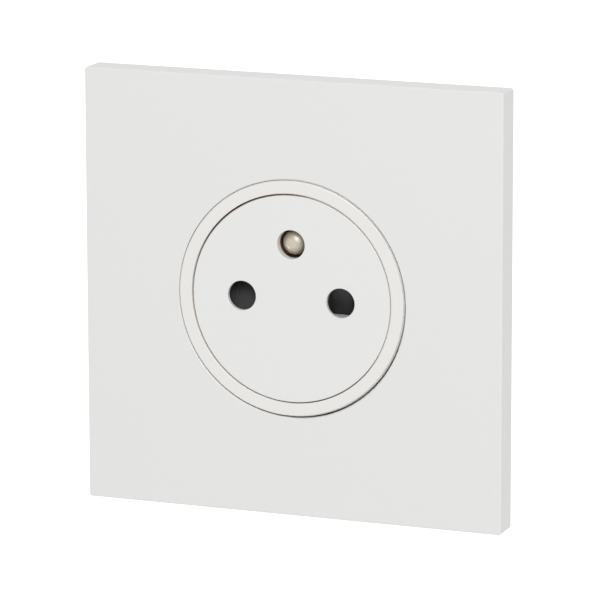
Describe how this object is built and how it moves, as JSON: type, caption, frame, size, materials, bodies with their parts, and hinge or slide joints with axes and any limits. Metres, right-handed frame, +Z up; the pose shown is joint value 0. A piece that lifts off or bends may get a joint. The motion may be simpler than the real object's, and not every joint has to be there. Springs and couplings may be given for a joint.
{
  "type": "wall socket",
  "caption": "Flush square wall socket; its round face disc gives way to a plug and bares the earth pin, with shuttered pin holes, a slotted steel frame and a terminal housing.",
  "frame": {"origin": "on the mechanism's axis in the wall's face, which is the back of the steel frame", "axes": "+X to the right and +Z up as seen from the room, +Y into the wall; the face looks along -Y"},
  "size_m": [0.08, 0.0411, 0.08],
  "materials": {
    "plate_white": "smooth semi-gloss white, very slightly cool",
    "ring_white": "smooth semi-gloss white, slightly warm",
    "disc_white": "smooth semi-gloss white",
    "carrier_tan": "tan technical plastic",
    "shutter_charcoal": "charcoal technical plastic with faint mould lines",
    "frame_grey": "mid-grey moulded plastic",
    "housing_white": "off-white thermoset, fine spark texture",
    "cover_grey": "grey moulded plastic",
    "zinc_steel": "zinc-plated sheet with a faint rolled grain",
    "nickel_pin": "nickel-plated brass, warm, turned",
    "contact_brass": "rolled brass strip",
    "clamp_steel": "zinc-plated steel",
    "screw_steel": "zinc-plated screw steel",
    "spring_steel": "bright drawn spring wire"
  },
  "bodies": {
    "housing": {"cover_plate": "plate_white", "clip_frame": "frame_grey", "support_frame": "zinc_steel", "trim_ring": "ring_white", "return_spring": "spring_steel", "base_housing": "housing_white", "rear_cover": "cover_grey", "cover_screws": "screw_steel", "live_contact": "contact_brass", "neutral_contact": "contact_brass", "earth_pin": "nickel_pin", "earth_strap": "contact_brass", "live_clamp": "clamp_steel", "earth_clamp": "clamp_steel", "neutral_clamp": "clamp_steel", "live_screw": "screw_steel", "earth_screw": "screw_steel", "neutral_screw": "screw_steel"},
    "disc": {"face_disc": "disc_white", "shutter_carrier": "carrier_tan", "shutter_spring": "spring_steel"},
    "shutter": {"shutter": "shutter_charcoal"}
  },
  "joints": [
    {"name": "disc_press", "type": "slide", "parent": "housing", "child": "disc", "axis": [0, 1, 0], "range_m": [0, 0.0145], "stiffness_N_per_m": 600, "springref_m": -0.008, "deforming": ["return_spring"]},
    {"name": "shutter_turn", "type": "hinge", "parent": "disc", "child": "shutter", "pos_m": [0.00004, 0, -0.00006], "axis": [0, -1, 0], "range_deg": [0, 36], "stiffness_Nm_per_rad": 0.006, "springref_deg": -17.19, "deforming": ["shutter_spring"]}
  ]
}
